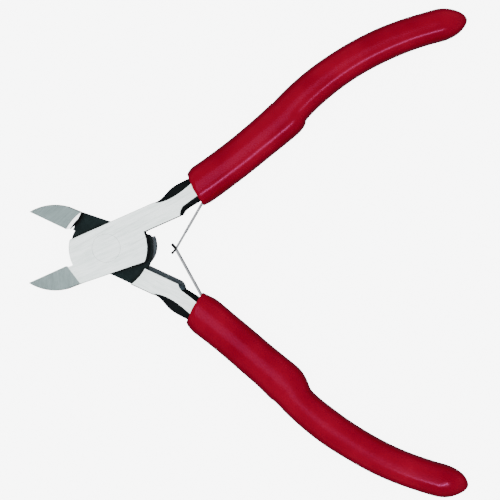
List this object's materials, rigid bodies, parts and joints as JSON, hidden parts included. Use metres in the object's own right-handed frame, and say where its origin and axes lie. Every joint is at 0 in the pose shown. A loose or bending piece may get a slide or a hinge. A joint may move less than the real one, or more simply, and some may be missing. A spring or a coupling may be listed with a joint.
{
  "type": "flush cutter",
  "caption": "Small sprung side cutters with a lap joint on a flush rivet, flush-ground jaws, two interlocking leaf springs and dipped grips.",
  "frame": {"origin": "on the pivot's axis, at the ground back face of the head", "axes": "+X from the pivot to the handles along the centre line, +Y towards the front lever's handle, +Z along the pivot from the back face to the front face"},
  "size_m": [0.1007, 0.1119, 0.0094],
  "materials": {
    "lever_steel": "ground satin faces on a black oxide forging",
    "rivet_steel": "ground flush, satin",
    "spring_steel": "rolled spring strip, slightly dark",
    "grip_plastic": "glossy dipped soft plastic, deep red"
  },
  "bodies": {
    "rear_half": {"rear_lever": "lever_steel", "pivot_rivet": "rivet_steel", "rear_grip": "grip_plastic", "rear_spring_rivet": "rivet_steel"},
    "front_half": {"front_lever": "lever_steel", "front_grip": "grip_plastic", "front_spring_rivet": "rivet_steel"},
    "front_leaf": {"front_leaf_spring": "spring_steel"},
    "rear_leaf": {"rear_leaf_spring": "spring_steel"}
  },
  "joints": [
    {"name": "pivot", "type": "hinge", "parent": "rear_half", "child": "front_half", "pos_m": [0, 0, 0.004], "axis": [0, 0, -1], "range_deg": [0, 49], "stiffness_Nm_per_rad": 0.3, "springref_deg": -8.59},
    {"name": "front_spring_flex", "type": "hinge", "parent": "front_half", "child": "front_leaf", "pos_m": [0.02176, 0.01085, 0.004], "axis": [0, 0, -1], "range_deg": [0, 33], "deforming": ["front_leaf_spring"]},
    {"name": "rear_spring_flex", "type": "hinge", "parent": "rear_half", "child": "rear_leaf", "pos_m": [0.02176, -0.01085, 0.004], "axis": [0, 0, 1], "range_deg": [0, 33], "deforming": ["rear_leaf_spring"]}
  ],
  "couplings": [
    {"joint": "front_spring_flex", "follows": "pivot", "ratio": 0.66},
    {"joint": "rear_spring_flex", "follows": "pivot", "ratio": 0.66}
  ]
}
